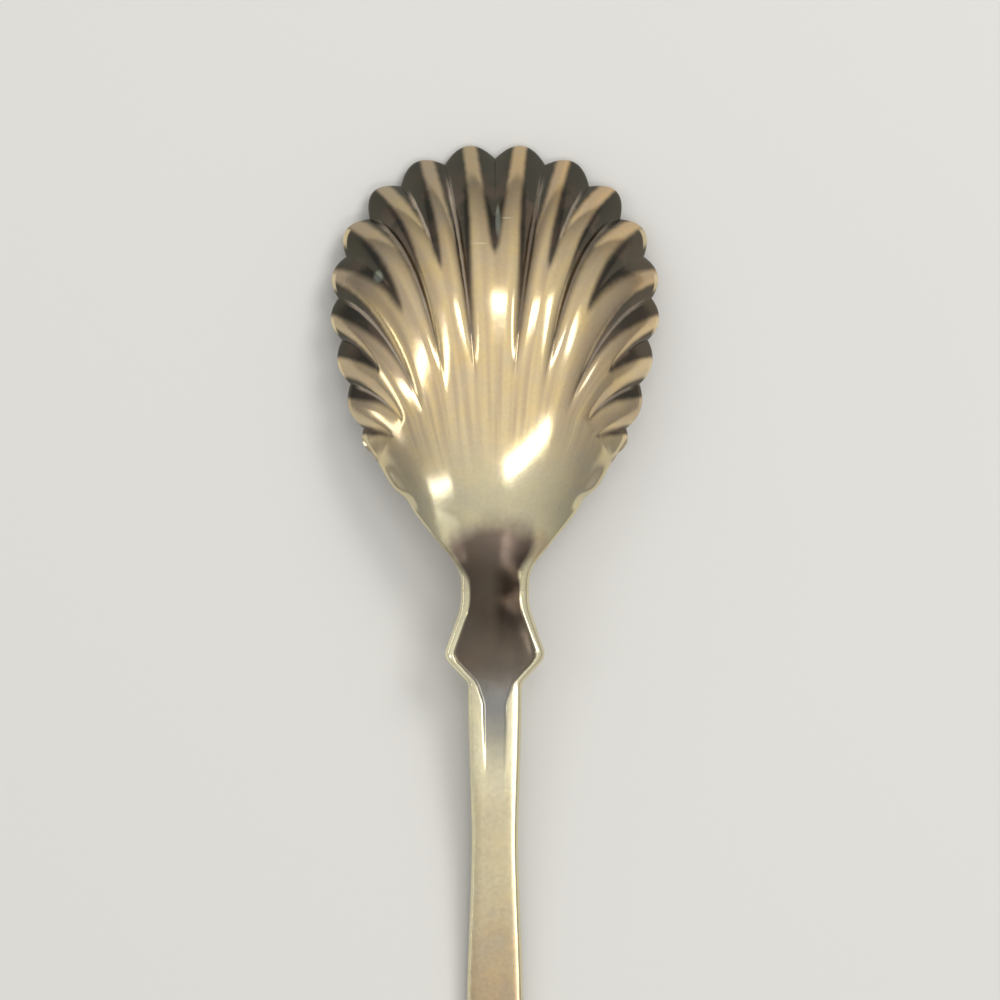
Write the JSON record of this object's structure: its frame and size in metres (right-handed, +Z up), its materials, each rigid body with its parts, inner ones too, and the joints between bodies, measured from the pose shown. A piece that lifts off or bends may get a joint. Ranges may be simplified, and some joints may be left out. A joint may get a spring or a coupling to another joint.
{
  "type": "sugar spoon",
  "caption": "Sugar spoon with a fluted shell bowl, a waisted neck with a sunk panel and a slim handle, lying face down.",
  "frame": {"origin": "middle of the spoon's length and width, on the table that it lies on", "axes": "+X across the spoon, +Y along it to the tip of the bowl, +Z up, out of the back of the bowl"},
  "size_m": [0.038, 0.152, 0.0136],
  "materials": {
    "bowl_silver": "polished warm silver, darker in the flutes near the rim",
    "neck_silver": "polished silver with a toned sunk panel and a bright border",
    "handle_silver": "polished silver with fine wear marks"
  },
  "bodies": {
    "root": {"bowl": "bowl_silver", "neck": "neck_silver", "stem": "handle_silver", "handle_end": "handle_silver"}
  },
  "joints": []
}
